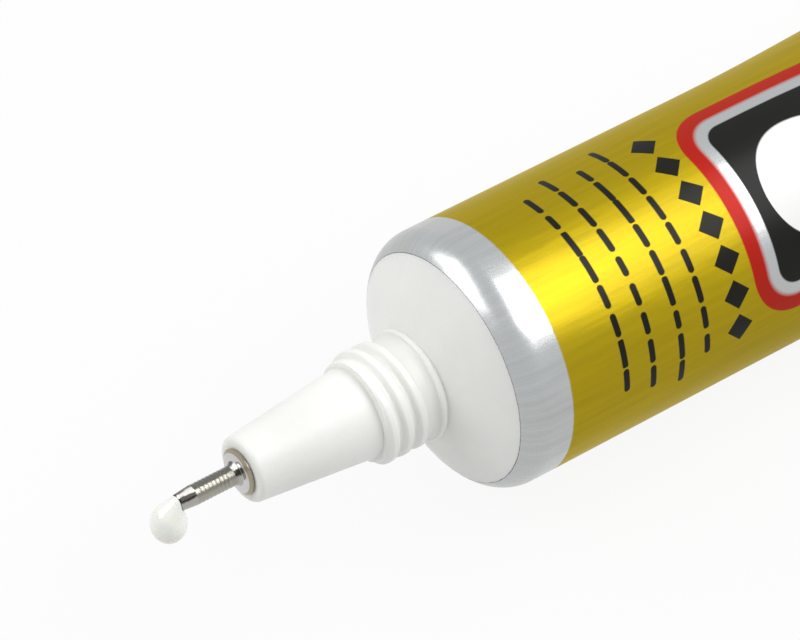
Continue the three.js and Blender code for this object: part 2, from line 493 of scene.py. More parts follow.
@dataclass(frozen=True)
class PrintLayout:
    """Generic print on the sleeve, in millimetres along the girth and along the tube.

    The drop's width follows share times the root of 1 - share, which is drop_peak where it is widest.
    """

    gold_front: float = -3.7
    gold_wobble: float = 0.16
    gold_blur: float = 0.12
    dash_rows: tuple[float, ...] = (-8.3, -10.6, -13.1, -15.3)
    dash_height: float = 0.5
    dash_pitch: float = 2.1
    dash_stagger: float = 0.83
    dash_reach: Point = (0.2, 0.42)
    dash_half_width: float = 9.4
    motif_row: float = -18.2
    motif_pitch: float = 2.6
    motif_size: float = 1.1
    motif_half_width: float = 9.1
    mark_blur: float = 0.08
    row_end_blur: float = 0.05
    panel_centre: float = -44.85
    panel_half_width: float = 8.65
    panel_half_length: float = 25.0
    panel_corner: float = 3.7
    red_width: float = 1.25
    red_blur: float = 0.1
    silver_width: float = 0.9
    silver_blur: float = 0.35
    black_blur: float = 0.12
    drop_front: float = -23.1
    drop_length: float = 13.5
    drop_half_width: float = 4.4
    drop_peak: float = 0.385
    drop_margin: float = 0.1
    drop_blur: float = 0.15
    half_girth: float = math.pi * SLEEVE_DIAMETER / 2.0
    lap_half_width: float = 0.12
    lap_blur: float = 0.1

    def dashes(self, recipe: Recipe, u: Feed, v: Feed) -> Feed:
        """Draws the rows of fine dashes.

        Args:
            recipe: Finish that they are drawn in.
            u: Place along the girth.
            v: Place along the tube.

        Returns:
            Their mask.
        """
        rows = []
        for index, height in enumerate(self.dash_rows):
            shift = self.dash_stagger * index
            cell = recipe.math("DIVIDE", recipe.add(u, shift), self.dash_pitch)
            count = recipe.math("FLOOR", cell)
            seed = recipe.node("ShaderNodeTexWhiteNoise", noise_dimensions="2D")
            recipe.feed(seed.inputs["Vector"], recipe.combine(count, float(index), 0.0))
            reach = recipe.ramp(seed.outputs["Value"], *UNIT_BAND, *self.dash_reach)
            past = recipe.less(recipe.away(recipe.math("FRACT", cell), 0.5), reach)
            across = recipe.times(recipe.math("MAXIMUM", past, 0.0), self.dash_pitch)
            distance = recipe.diagonal(across, recipe.less(v, height))
            middle = recipe.less(recipe.times(recipe.add(count, 0.5), self.dash_pitch), shift)
            dash = recipe.below(distance, self.dash_height / 2.0, self.mark_blur)
            kept = recipe.below(recipe.away(middle), self.dash_half_width, self.row_end_blur)
            rows.append(recipe.times(dash, kept))
        return recipe.either(*rows)

    def motifs(self, recipe: Recipe, u: Feed, v: Feed) -> Feed:
        """Draws the row of large diamonds.

        Args:
            recipe: Finish that they are drawn in.
            u: Place along the girth.
            v: Place along the tube.

        Returns:
            Their mask.
        """
        cell = recipe.math("DIVIDE", recipe.add(u, self.motif_pitch / 2.0), self.motif_pitch)
        across = recipe.times(recipe.away(recipe.math("FRACT", cell), 0.5), self.motif_pitch)
        along = recipe.away(v, self.motif_row)
        diamond = recipe.below(recipe.add(across, along), self.motif_size, self.mark_blur)
        kept = recipe.below(recipe.away(u), self.motif_half_width, self.row_end_blur)
        return recipe.times(diamond, kept)

    def panel(self, recipe: Recipe, u: Feed, v: Feed) -> Socket:
        """Measures the rounded panel.

        Args:
            recipe: Finish that it is drawn in.
            u: Place along the girth.
            v: Place along the tube.

        Returns:
            Distance to the panel's outline, negative inside.
        """
        sides = (
            recipe.less(recipe.away(u), self.panel_half_width - self.panel_corner),
            recipe.less(recipe.away(v, self.panel_centre), self.panel_half_length - self.panel_corner),
        )
        outside = recipe.diagonal(*[recipe.math("MAXIMUM", side, 0.0) for side in sides])
        inside = recipe.math("MINIMUM", recipe.math("MAXIMUM", *sides), 0.0)
        return recipe.less(recipe.add(outside, inside), self.panel_corner)

    def drop(self, recipe: Recipe, u: Feed, v: Feed) -> Socket:
        """Draws the plain drop in the panel.

        Args:
            recipe: Finish that it is drawn in.
            u: Place along the girth.
            v: Place along the tube.

        Returns:
            Its mask.
        """
        share = recipe.ramp(v, self.drop_front - self.drop_length, self.drop_front, *UNIT_BAND)
        round_end = recipe.math("SQRT", recipe.less(1.0, share))
        width = recipe.times(share, round_end, self.drop_half_width / self.drop_peak)
        return recipe.below(recipe.add(recipe.away(u), self.drop_margin), width, self.drop_blur)

    def lap(self, recipe: Recipe, u: Feed) -> Socket:
        """Mask of the lap line at the back of the sleeve."""
        return recipe.below(self.half_girth - self.lap_half_width, recipe.away(u), self.lap_blur)


@dataclass(frozen=True)
class FoilFinish:
    """Printed foil laminate: bare foil at the rim, gold lacquer and inks behind it.

    A pair of reliefs is for bare foil and for lacquer.
    """

    foil: Colour = (0.45, 0.46, 0.46)
    gold: Colour = (0.355, 0.26, 0.002)
    gold_tint: Colour = (1.0, 0.9, 0.45)
    ink: Colour = (0.005, 0.005, 0.004)
    red: Colour = (0.37, 0.009, 0.004)
    white: Colour = (0.80, 0.80, 0.78)
    seam: Colour = (0.14, 0.12, 0.07)
    tone: Point = (0.93, 1.05)
    red_shine: float = 0.35
    foil_roughness: float = 0.28
    gold_roughness: float = 0.40
    ink_roughness: float = 0.42
    scuff: float = 0.10
    scuff_zone: Point = (-22.0, -6.0)
    grain_gloss: Point = (-0.04, 0.05)
    specular: float = 0.05
    coat: float = 0.18
    coat_roughness: float = 0.3
    streak_scale: float = 2.2
    streak_stretch: float = 0.06
    streak_relief: Point = (0.025, 0.10)
    wave_scale: float = 0.22
    wave_stretch: float = 0.5
    grain_scale: float = 9.0
    grain_relief: Point = (0.005, 0.02)
    ink_relief: float = 0.04
    relief: float = 0.14
    layout: PrintLayout = field(default_factory=PrintLayout)
    girth_map: str = "girth_mm"

    def material(self) -> Material:
        """Builds the printed foil.

        Returns:
            The material.
        """
        recipe = Recipe("printed_foil")
        plan = self.layout
        u, v, _ = recipe.split(recipe.node("ShaderNodeUVMap", uv_map=self.girth_map).outputs["UV"])
        drawn = recipe.combine(u, recipe.times(v, self.streak_stretch), 0.0)
        streaks = recipe.noise(drawn, self.streak_scale, detail=4.0)
        waves = recipe.noise(recipe.combine(u, recipe.times(v, self.wave_stretch), 0.0), self.wave_scale)
        grain = recipe.noise(recipe.combine(u, v, 0.0), self.grain_scale, detail=3.0)

        front = recipe.add(plan.gold_front, recipe.times(recipe.less(grain, 0.5), plan.gold_wobble))
        gold = recipe.below(v, front, plan.gold_blur)
        outline = plan.panel(recipe, u, v)
        in_red = recipe.below(outline, 0.0, plan.red_blur)
        in_silver = recipe.below(outline, -plan.red_width, plan.silver_blur)
        in_black = recipe.below(outline, -plan.red_width - plan.silver_width, plan.black_blur)
        in_drop = recipe.times(in_black, plan.drop(recipe, u, v))
        marks = recipe.either(plan.dashes(recipe, u, v), plan.motifs(recipe, u, v))
        inked = recipe.either(marks, in_black)
        reddened = recipe.without(in_red, in_silver)
        lacquered = recipe.without(gold, in_silver)

        shade = recipe.node("ShaderNodeVectorMath", operation="SCALE")
        recipe.feed(shade.inputs[0], recipe.blend(gold, self.foil, self.gold))
        recipe.feed(shade.inputs["Scale"], recipe.ramp(streaks, *NOISE_BAND, *self.tone))
        colour = shade.outputs[0]
        layers = (
            (marks, self.ink),
            (in_red, self.red),
            (in_silver, self.foil),
            (in_black, self.ink),
            (in_drop, self.white),
            (plan.lap(recipe, u), self.seam),
        )
        for mask, pigment in layers:
            colour = recipe.blend(mask, colour, pigment)

        scuffed = recipe.ramp(v, *self.scuff_zone, self.gold_roughness + self.scuff, self.gold_roughness)
        rough = recipe.mix(lacquered, self.foil_roughness, scuffed)
        rough = recipe.add(rough, recipe.ramp(grain, *NOISE_BAND, *self.grain_gloss))
        recipe.set(
            Base_Color=colour,
            Metallic=recipe.mix(reddened, recipe.mix(inked, 1.0, 0.0), self.red_shine),
            Roughness=recipe.mix(inked, rough, self.ink_roughness),
            Specular_IOR_Level=self.specular,
            Specular_Tint=recipe.blend(lacquered, WHITE, self.gold_tint),
            Coat_Weight=self.coat,
            Coat_Roughness=self.coat_roughness,
        )
        height = recipe.add(
            recipe.times(streaks, recipe.mix(lacquered, *self.streak_relief)),
            recipe.times(grain, recipe.mix(lacquered, *self.grain_relief)),
            waves,
            recipe.times(inked, self.ink_relief),
        )
        recipe.bump(height, self.relief)
        return recipe.material


@dataclass(frozen=True)
class MouldedFinish:
    """White moulded polyethylene with a soft skin."""

    colour: Colour = (0.80, 0.80, 0.765)
    shade: Colour = (0.74, 0.74, 0.70)
    cloud_scale: float = 160.0
    cloud_band: Point = (0.35, 0.75)
    skin_scale: float = 5200.0
    skin_gloss: Point = (-0.05, 0.08)
    skin_depth: float = 0.02
    skin_strength: float = 0.5
    roughness: float = 0.4
    depth_share: float = 0.25
    depth_radius: Colour = (1.0, 0.95, 0.85)
    depth: float = 1.2
    ior: float = 1.51

    def material(self) -> Material:
        """Builds the white plastic.

        Returns:
            The material.
        """
        recipe = Recipe("white_moulding")
        place = recipe.place()
        cloud = recipe.noise(place, self.cloud_scale, detail=3.0)
        skin = recipe.noise(place, self.skin_scale)
        clouded = recipe.ramp(cloud, *self.cloud_band, *UNIT_BAND)
        recipe.set(
            Base_Color=recipe.blend(clouded, self.colour, self.shade),
            Roughness=recipe.vary(skin, NOISE_BAND, self.roughness, self.skin_gloss),
            Subsurface_Weight=self.depth_share,
            Subsurface_Radius=self.depth_radius,
            Subsurface_Scale=self.depth * MM,
            IOR=self.ior,
        )
        recipe.bump(skin, self.skin_depth, self.skin_strength)
        return recipe.material


@dataclass(frozen=True)
class NickelFinish:
    """Nickel plate over a turned needle, with fine rings from the tool.

    A streak is a band of painted reflection along the needle, dark or bright: its turn and half width in
    degrees, and its depth.
    """

    axes: TubeAxes
    colour: Colour = (0.56, 0.55, 0.545)
    taper_colour: Colour = (0.39, 0.372, 0.345)
    # Colour of the painted highlight on the taper and the root.
    highlight_colour: Colour = (0.95, 0.93, 0.88)
    dull: Colour = (0.34, 0.325, 0.28)
    # Near-black colour of the painted dark reflections.
    dark_reflection: Colour = (0.014, 0.012, 0.009)
    rim_colour: Colour = (0.34, 0.295, 0.225)
    # Painted dark reflections along the shaft, and on the taper and the root.
    shaft_dark_reflections: tuple[Streak, ...] = ((13.0, 23.0, 0.55), (-40.0, 18.0, 0.3))
    end_dark_reflections: tuple[Streak, ...] = ((-32.0, 19.0, 0.94), (50.0, 26.0, 0.75))
    # Painted highlight on the taper and the root.
    painted_highlights: tuple[Streak, ...] = ((1.0, 14.0, 1.0),)
    streak_blur_deg: float = 6.0
    streak_wobble_deg: float = 5.0
    shaft_foot: float = 17.62
    taper_foot: float = 20.72
    foot_blur: float = 0.06
    root_radius: float = 0.9
    rim_radius: float = 1.45
    radius_blur: float = 0.05
    stain_scale: float = 1900.0
    stain_band: Point = (0.3, 0.75)
    stain_gloss: Point = (-0.04, 0.1)
    roughness: float = 0.12
    ring_pitch: float = 0.06
    ring_depth: float = 0.003
    ring_strength: float = 0.6

    @staticmethod
    def reading(recipe: Recipe, place: Feed, direction: Vector) -> Socket:
        """Reads how far a place lies along a direction.

        Args:
            recipe: Finish that needs the reading.
            place: Place on the needle, in metres.
            direction: Direction of length 1.

        Returns:
            The reading in metres.
        """
        made = recipe.node("ShaderNodeVectorMath", operation="DOT_PRODUCT")
        recipe.feed_all(made.inputs, (place, direction))
        return made.outputs["Value"]

    def streaked(self, recipe: Recipe, turn: Feed, streaks: Iterable[Streak]) -> Feed:
        """Draws streaks of painted reflection along the needle.

        Args:
            recipe: Finish that they are drawn in.
            turn: Turn of the place about the axis, in degrees.
            streaks: The streaks.

        Returns:
            Their mask.
        """
        masks = []
        for centre, half, depth in streaks:
            away = recipe.away(turn, centre)
            blur = self.streak_blur_deg
            masks.append(recipe.ramp(away, half - blur, half + blur, depth, 0.0))
        return recipe.either(*masks)

    def material(self) -> Material:
        """Builds the nickel.

        Returns:
            The material.
        """
        recipe = Recipe("turned_nickel")
        place = recipe.place()
        stains = recipe.noise(place, self.stain_scale, detail=4.0, roughness=0.6)
        rim = Vector(self.axes.rim) * MM
        ways = (self.axes.across(), self.axes.normal(), self.axes.along())
        readings = [self.reading(recipe, place, way) for way in ways]
        rings = recipe.math("SINE", recipe.times(readings[2], math.tau / (self.ring_pitch * MM)))
        across, above, ahead = (recipe.less(read, rim.dot(way)) for read, way in zip(readings, ways))
        wobble = recipe.vary(stains, NOISE_BAND, 0.0, (-self.streak_wobble_deg, self.streak_wobble_deg))
        turn = recipe.add(recipe.math("DEGREES", recipe.math("ARCTAN2", across, above)), wobble)
        reach = recipe.diagonal(across, above)

        ends = recipe.either(
            recipe.below(self.taper_foot * MM, ahead, self.foot_blur * MM),
            recipe.below(ahead, self.shaft_foot * MM, self.foot_blur * MM),
        )
        shaft = recipe.below(reach, self.root_radius * MM, self.radius_blur * MM)
        rimmed = recipe.below(self.rim_radius * MM, reach, self.radius_blur * MM)
        plated = recipe.blend(rimmed, self.colour, self.rim_colour)
        # The shaft keeps its own dull tone under painted dark reflections; the taper and the root get a
        # painted highlight and painted dark reflections.
        dull = recipe.blend(self.streaked(recipe, turn, self.shaft_dark_reflections), self.dull, self.dark_reflection)
        highlight_mask = self.streaked(recipe, turn, self.painted_highlights)
        painted_ends = recipe.blend(highlight_mask, self.taper_colour, self.highlight_colour)
        painted_ends = recipe.blend(self.streaked(recipe, turn, self.end_dark_reflections), painted_ends, self.dark_reflection)
        recipe.set(
            Base_Color=recipe.blend(shaft, plated, recipe.blend(ends, dull, painted_ends)),
            Metallic=1.0,
            Roughness=recipe.vary(stains, self.stain_band, self.roughness, self.stain_gloss),
        )
        recipe.bump(rings, self.ring_depth, self.ring_strength)
        return recipe.material


@dataclass(frozen=True)
class GlueFinish:
    """Milky wet glue, darkened towards the bottom of the drop by painted shade."""

    colour: Colour = (0.82, 0.83, 0.77)
    # Colour of the painted shade at the bottom of the drop.
    core: Colour = (0.67, 0.635, 0.515)
    bottom_shade_share: float = 0.9
    top: float = 14.6
    bottom: float = 12.2
    cloud_scale: float = 700.0
    cloud_band: Point = (0.35, 0.7)
    cloud_share: Point = (-0.1, 0.15)
    cloud_gloss: Point = (-0.02, 0.03)
    roughness: float = 0.06
    depth_share: float = 0.3
    depth_radius: Colour = (1.0, 0.95, 0.8)
    depth: float = 1.4
    ior: float = 1.47
    coat: float = 0.5
    coat_roughness: float = 0.03

    def material(self) -> Material:
        """Builds the glue.

        Returns:
            The material.
        """
        recipe = Recipe("milky_glue")
        place = recipe.place()
        cloud = recipe.noise(place, self.cloud_scale, detail=3.0)
        height = recipe.split(place)[2]
        # Painted shade, darker towards the bottom of the drop, plus random cloudy tone.
        painted_low_shade = recipe.ramp(height, self.bottom * MM, self.top * MM, self.bottom_shade_share, 0.0)
        clouded = recipe.ramp(cloud, *self.cloud_band, *self.cloud_share)
        shade_and_cloud = recipe.math("ADD", painted_low_shade, clouded, clamp=True)
        recipe.set(
            Base_Color=recipe.blend(shade_and_cloud, self.colour, self.core),
            Roughness=recipe.vary(cloud, UNIT_BAND, self.roughness, self.cloud_gloss),
            Subsurface_Weight=self.depth_share,
            Subsurface_Radius=self.depth_radius,
            Subsurface_Scale=self.depth * MM,
            IOR=self.ior,
            Coat_Weight=self.coat,
            Coat_Roughness=self.coat_roughness,
        )
        return recipe.material


class TubePart(ABC):
    """One piece of the tube, from its mesh to its finish."""

    axes: TubeAxes
    node: Node
    slot: Slot
    crease_deg: float
    finish: Finish

    @abstractmethod
    def build(self) -> Piece:
        """Models the piece in the tube's axes."""

    def dress(self) -> Piece:
        """Builds the piece, lays it into the row frame and hands it over.

        Returns:
            The finished piece.
        """
        obj = self.build()
        Bench.settle(obj, self.axes, self.crease_deg)
        Bench.hand_over(obj, self.node, self.slot, self.finish.material())
        return obj


@dataclass
class Sleeve(TubePart):
    """Foil sleeve: round behind its rolled rim, then pressed flat and sealed at the tail.

    A ring is a height along the tube, an outer thickness and a width of the flats.
    """

    axes: TubeAxes
    node: Node = Node.SLEEVE
    slot: Slot = Slot.FOIL
    crease_deg: float = 40.0
    diameter: float = SLEEVE_DIAMETER
    wall: float = 0.35
    length: float = 106.0
    barrel: float = 30.0
    barrel_blend: float = 4.0
    seal: float = 7.0
    seal_root: float = 2.5
    roll_radius: float = 2.5
    roll_sweep_deg: float = 53.0
    crimp_pitch: float = 0.7
    crimp_depth: float = 0.05
    panel_turn_deg: float = -30.1
    sides: int = 144
    roll_steps: int = 14
    barrel_steps: int = 8
    taper_steps: int = 26
    wall_corners: int = 4
    finish: FoilFinish = field(default_factory=FoilFinish)

    def thickness(self, y: float) -> float:
        """Outer thickness of the sleeve, with the start of its taper rounded.

        Args:
            y: Height along the tube.

        Returns:
            The thickness at that height.
        """
        sealed = 2.0 * self.wall
        slope = (self.diameter - sealed) / (self.length - self.seal - self.barrel)
        past = -self.barrel - y
        reach = self.barrel_blend
        if past <= -reach:
            return self.diameter
        if past < reach:
            return self.diameter - slope * (past + reach) ** 2 / (4.0 * reach)
        return max(sealed, self.diameter - slope * past)

    def flat(self, y: float) -> float:
        """Width of the flats at a height, for a sleeve whose girth doesn't change."""
        return math.pi * (self.diameter - self.thickness(y)) / 2.0

    def roll(self, distance: float) -> list[Ring]:
        """Rings over the rolled edge.

        Args:
            distance: Distance of the surface from the centre of the bend.

        Returns:
            The rings, from the barrel to the rim.
        """
        sweep = math.radians(self.roll_sweep_deg)
        centre = (self.diameter / 2.0 - self.roll_radius, -self.roll_radius * math.sin(sweep))
        rolled = arc(centre, distance, 0.0, self.roll_sweep_deg, self.roll_steps)
        return [(y, 2.0 * radius, 0.0) for radius, y in rolled]

    def walls(self, end: float, inset: float) -> list[Ring]:
        """Rings along the wall behind the rolled edge.

        Args:
            end: Height of the last ring, at the tail.
            inset: How far the surface is drawn in from the outside.

        Returns:
            The rings, from the rolled edge to the tail.
        """
        start = self.roll(self.roll_radius)[0][0]
        turn = self.barrel_blend - self.barrel
        heights = [start + (turn - start) * i / self.barrel_steps for i in range(1, self.barrel_steps)]
        heights += [turn + (end - turn) * i / self.taper_steps for i in range(self.taper_steps + 1)]
        return [(y, self.thickness(y) - 2.0 * inset, self.flat(y)) for y in heights]

    def crimps(self) -> list[Ring]:
        """Rings over the ribbed seal.

        Returns:
            The rings, from the trimmed end to the front of the seal.
        """
        sealed = 2.0 * self.wall
        width = self.flat(-self.length)
        pitch = self.crimp_pitch
        rings = [(-self.length, sealed, width)]
        y = -self.length + pitch
        while y < self.seal - self.length - pitch:
            rings.append((y, sealed, width))
            rings.append((y + pitch / 4.0, sealed - 2.0 * self.crimp_depth, width))
            rings.append((y + pitch / 2.0, sealed, width))
            y += pitch
        return rings

    def build(self) -> Piece:
        """Models the sleeve from the tail over the rim and back along its inside.

        Returns:
            The sleeve in the tube's axes, with the map of its print.
        """
        rings = self.crimps()
        rings += self.walls(self.seal - self.length, 0.0)[::-1]
        rings += self.roll(self.roll_radius)
        rings += self.roll(self.roll_radius - self.wall)[::-1]
        rings += self.walls(self.seal + self.seal_root - self.length, self.wall)
        Bench.clear()
        y, thick, flat = rings[0]
        bpy.ops.mesh.primitive_circle_add(
            vertices=self.sides,
            radius=thick / 2.0 * MM,
            location=(0.0, y * MM, 0.0),
            rotation=(math.pi / 2.0, math.pi / self.sides, 0.0),
        )
        obj = bpy.context.object
        obj.name = "sleeve"
        bpy.ops.object.transform_apply(location=True, rotation=True, scale=True)
        bpy.ops.object.mode_set(mode="EDIT")
        bpy.context.tool_settings.mesh_select_mode = (False, True, False)
        bpy.ops.mesh.select_all(action="SELECT")
        self.part_sides(obj, flat / 2.0)
        bpy.ops.mesh.edge_face_add()
        self.edges_only(obj)
        for here, there in zip(rings, rings[1:]):
            self.extend(obj, here, there)
        bpy.ops.mesh.edge_face_add()
        bpy.ops.mesh.select_all(action="SELECT")
        bpy.ops.mesh.normals_make_consistent(inside=False)
        bpy.ops.object.mode_set(mode="OBJECT")
        self.map_girth(obj)
        return obj

    @staticmethod
    def edges_only(obj: Piece) -> None:
        """Keeps the end ring selected as edges, without the face that closes it.

        Args:
            obj: Sleeve in edit mode with one face.
        """
        bpy.context.tool_settings.mesh_select_mode = (False, True, False)
        mesh = bmesh.from_edit_mesh(obj.data)
        for face in mesh.faces:
            face.select_set(False)
        for edge in mesh.edges:
            edge.select_set(True)
        bmesh.update_edit_mesh(obj.data)

    @staticmethod
    def part_sides(obj: Piece, shift: float) -> None:
        """Moves the two halves of the selected ring apart.

        Args:
            obj: Sleeve in edit mode with its end ring selected.
            shift: Way of each half, negative to move them together.
        """
        if abs(shift) < TINY:
            return
        mesh = bmesh.from_edit_mesh(obj.data)
        ring = [edge for edge in mesh.edges if edge.select]
        for sign in (-1.0, 1.0):
            side = [edge for edge in ring if all(v.co.x * sign > 0.0 for v in edge.verts)]
            Sleeve.select_only(obj, ring, side)
            bpy.ops.transform.translate(value=(sign * shift * MM, 0.0, 0.0))
        Sleeve.select_only(obj, ring, ring)

    @staticmethod
    def select_only(obj: Piece, ring: Iterable[Edge], kept: Iterable[Edge]) -> None:
        """Selects some edges of the end ring and no others.

        Args:
            obj: Sleeve in edit mode.
            ring: Edges of the end ring.
            kept: Those that are selected.
        """
        for edge in ring:
            edge.select_set(False)
        for edge in kept:
            edge.select_set(True)
        bmesh.update_edit_mesh(obj.data)

    def extend(self, obj: Piece, here: Ring, there: Ring) -> None:
        """Extrudes the end ring to the next one.

        Args:
            obj: Sleeve in edit mode with its end ring selected.
            here: The end ring.
            there: The next ring.
        """
        rise = (0.0, (there[0] - here[0]) * MM, 0.0)
        bpy.ops.mesh.extrude_region_move(TRANSFORM_OT_translate={"value": rise})
        self.part_sides(obj, -here[2] / 2.0)
        scale = there[1] / here[1]
        bpy.ops.transform.resize(value=(scale, 1.0, scale), center_override=(0.0, there[0] * MM, 0.0))
        self.part_sides(obj, there[2] / 2.0)

    def map_girth(self, obj: Piece) -> None:
        """Writes a map of the print: millimetres along the girth from the panel, and along the tube.

        The cut ends take the place of the rim, which is bare foil.

        Args:
            obj: Sleeve in the tube's axes.
        """
        mesh = obj.data
        half_girth = math.pi * self.diameter / 2.0
        panel = math.radians(self.panel_turn_deg) * self.diameter / 2.0
        layer = mesh.uv_layers.new(name=self.finish.girth_map)
        places = [self.girth_of(v.co / MM) - panel for v in mesh.vertices]
        for face in mesh.polygons:
            if len(face.loop_indices) > self.wall_corners:
                for i in face.loop_indices:
                    layer.data[i].uv = (0.0, 0.0)
                continue
            across = [places[mesh.loops[i].vertex_index] for i in face.loop_indices]
            if max(across) - min(across) > half_girth:
                across = [x + 2.0 * half_girth if x < max(across) - half_girth else x for x in across]
            middle = sum(across) / len(across)
            wrap = -math.copysign(2.0 * half_girth, middle) if abs(middle) > half_girth else 0.0
            for i, x in zip(face.loop_indices, across):
                along = mesh.vertices[mesh.loops[i].vertex_index].co.y / MM
                layer.data[i].uv = (x + wrap, along)

    def girth_of(self, point: Vector) -> float:
        """Distance along the girth of the sleeve from the middle of its upper flat.

        Args:
            point: Place on the sleeve in millimetres, in the tube's axes.

        Returns:
            Millimetres, positive towards +x.
        """
        if point.y > self.barrel_blend - self.barrel:
            return math.atan2(point.x, point.z) * self.diameter / 2.0
        flat = self.flat(point.y) / 2.0
        turn = math.atan2(max(0.0, abs(point.x) - flat), point.z)
        return math.copysign(flat + turn * self.thickness(point.y) / 2.0, point.x)


@dataclass
class NozzleHead(TubePart):
    """White moulded head: skirt, shoulder, bead, threaded neck and tapered nozzle."""

    axes: TubeAxes
    node: Node = Node.HEAD
    slot: Slot = Slot.MOULDING
    crease_deg: float = 35.0
    skirt_outer: float = 9.05
    skirt_inner: float = 8.15
    skirt_end: float = -6.9966
    roll_centre: Point = (7.0, -1.9966)
    bed_radius: float = 2.05
    bed_steps: int = 10
    rim_sweep_deg: float = 53.9
    shoulder_foot: Point = (8.4730, 0.0234)
    shoulder_wall: float = 1.2
    bead_foot: float = 2.5585
    bead_radius: float = 4.1
    bead_height: float = 0.6
    bead_toe: Point = (0.12, -0.02)
    bead_arc_deg: Point = (-55.0, 40.0)
    bead_fillet: float = 0.8
    fillet_arc_deg: Point = (220.0, 180.0)
    fillet_share: float = 0.55
    neck_radius: float = 3.65
    neck_length: float = 4.3
    neck_rings: int = 90
    neck_edge: float = 0.15
    neck_edge_arc_deg: Point = (20.0, 80.0)
    neck_edge_steps: int = 4
    neck_tolerance: float = 0.01
    nozzle_base: float = 3.3
    nozzle_tip: float = 2.4
    nozzle_length: float = 9.35
    nozzle_edge: float = 0.4
    nozzle_rings: tuple[float, ...] = (0.15, 3.0, 6.0)
    bore_radius: float = 1.5
    shank_bore_radius: float = 1.06
    shank_bore_end: float = 11.3085
    thread_height: float = 0.36
    thread_pitch: float = 1.2
    thread_lead_in: float = 0.89
    thread_run_out: float = 0.1
    thread_start_deg: float = 146.6
    thread_crest: float = 0.35
    thread_root: float = 1.05
    thread_fade: float = 0.3
    arc_steps: int = 8
    sides: int = 144
    finish: MouldedFinish = field(default_factory=MouldedFinish)

    def profile(self) -> list[Point]:
        """Draws the head without its thread.

        Returns:
            The closed profile.
        """
        half = self.bead_height / 2.0
        core = self.bead_radius - half
        neck, edge = self.neck_radius, self.neck_edge
        tip, lip = self.nozzle_tip, self.nozzle_edge
        steps = self.arc_steps
        neck_foot = self.bead_foot + self.bead_height
        start = neck_foot + self.bead_fillet * self.fillet_share
        nozzle_foot = neck_foot + self.neck_length
        end = nozzle_foot + self.nozzle_length
        points = [(self.skirt_inner, self.skirt_end), (self.skirt_outer, self.skirt_end)]
        points += arc(self.roll_centre, self.bed_radius, 0.0, self.rim_sweep_deg, self.bed_steps)
        points += [self.shoulder_foot, (core + self.bead_toe[0], self.bead_foot + self.bead_toe[1])]
        points += arc((core, self.bead_foot + half), half, *self.bead_arc_deg, steps)
        points += arc((neck + self.bead_fillet, start), self.bead_fillet, *self.fillet_arc_deg, steps)
        rise = nozzle_foot - edge - start
        points += [(neck, start + rise * i / self.neck_rings) for i in range(1, self.neck_rings + 1)]
        edge_centre = (neck - edge, nozzle_foot - edge)
        points += arc(edge_centre, edge, *self.neck_edge_arc_deg, self.neck_edge_steps)
        points += [(self.nozzle_base, nozzle_foot)]
        slope = (self.nozzle_base - tip) / (self.nozzle_length - lip)
        points += [(self.nozzle_base - slope * y, nozzle_foot + y) for y in self.nozzle_rings]
        points += arc((tip - lip, end - lip), lip, 0.0, 90.0, steps)
        points += [(self.shank_bore_radius, end), (self.shank_bore_radius, self.shank_bore_end)]
        points += [(self.bore_radius, self.shank_bore_end)]
        points += [(self.bore_radius, self.bead_foot - self.shoulder_wall)]
        points += [(self.skirt_inner, self.shoulder_foot[1] - self.shoulder_wall), points[0]]
        return points

    def ridge(self, turn: float, y: float) -> float:
        """Share of the thread's full height at a turn and a height on the neck.

        Args:
            turn: Angle round the axis in radians, from +z towards +x.
            y: Height on the neck.

        Returns:
            A share from 0 to 1.
        """
        turns = (self.neck_length - self.thread_lead_in - self.thread_run_out) / self.thread_pitch
        foot = self.bead_foot + self.bead_height + self.thread_lead_in
        first = ((turn - math.radians(self.thread_start_deg)) / math.tau) % 1.0
        best = 0.0
        for count in range(math.ceil(turns)):
            at = first + count
            if at > turns:
                continue
            fade = smooth_step(0.0, self.thread_fade, min(at, turns - at))
            away = abs(y - foot - at * self.thread_pitch)
            rise = 1.0 - smooth_step(self.thread_crest / 2.0, self.thread_root / 2.0, away)
            best = max(best, fade * rise)
        return best

    def build(self) -> Piece:
        """Turns the head and raises its thread.

        Returns:
            The head in the tube's axes.
        """
        obj = Bench.lathe("head", self.profile(), self.sides)
        group = obj.vertex_groups.new(name="thread")
        low = self.bead_foot + self.bead_height
        high = low + self.neck_length
        for vertex in obj.data.vertices:
            x, y, z = vertex.co / MM
            off_neck = abs(math.hypot(x, z) - self.neck_radius)
            if low < y < high and off_neck < self.neck_tolerance:
                group.add([vertex.index], self.ridge(math.atan2(x, z), y), "REPLACE")
        raised = obj.modifiers.new("thread", "DISPLACE")
        raised.vertex_group = group.name
        raised.mid_level = 0.0
        raised.strength = self.thread_height * MM
        Bench.apply(obj, raised)
        return obj


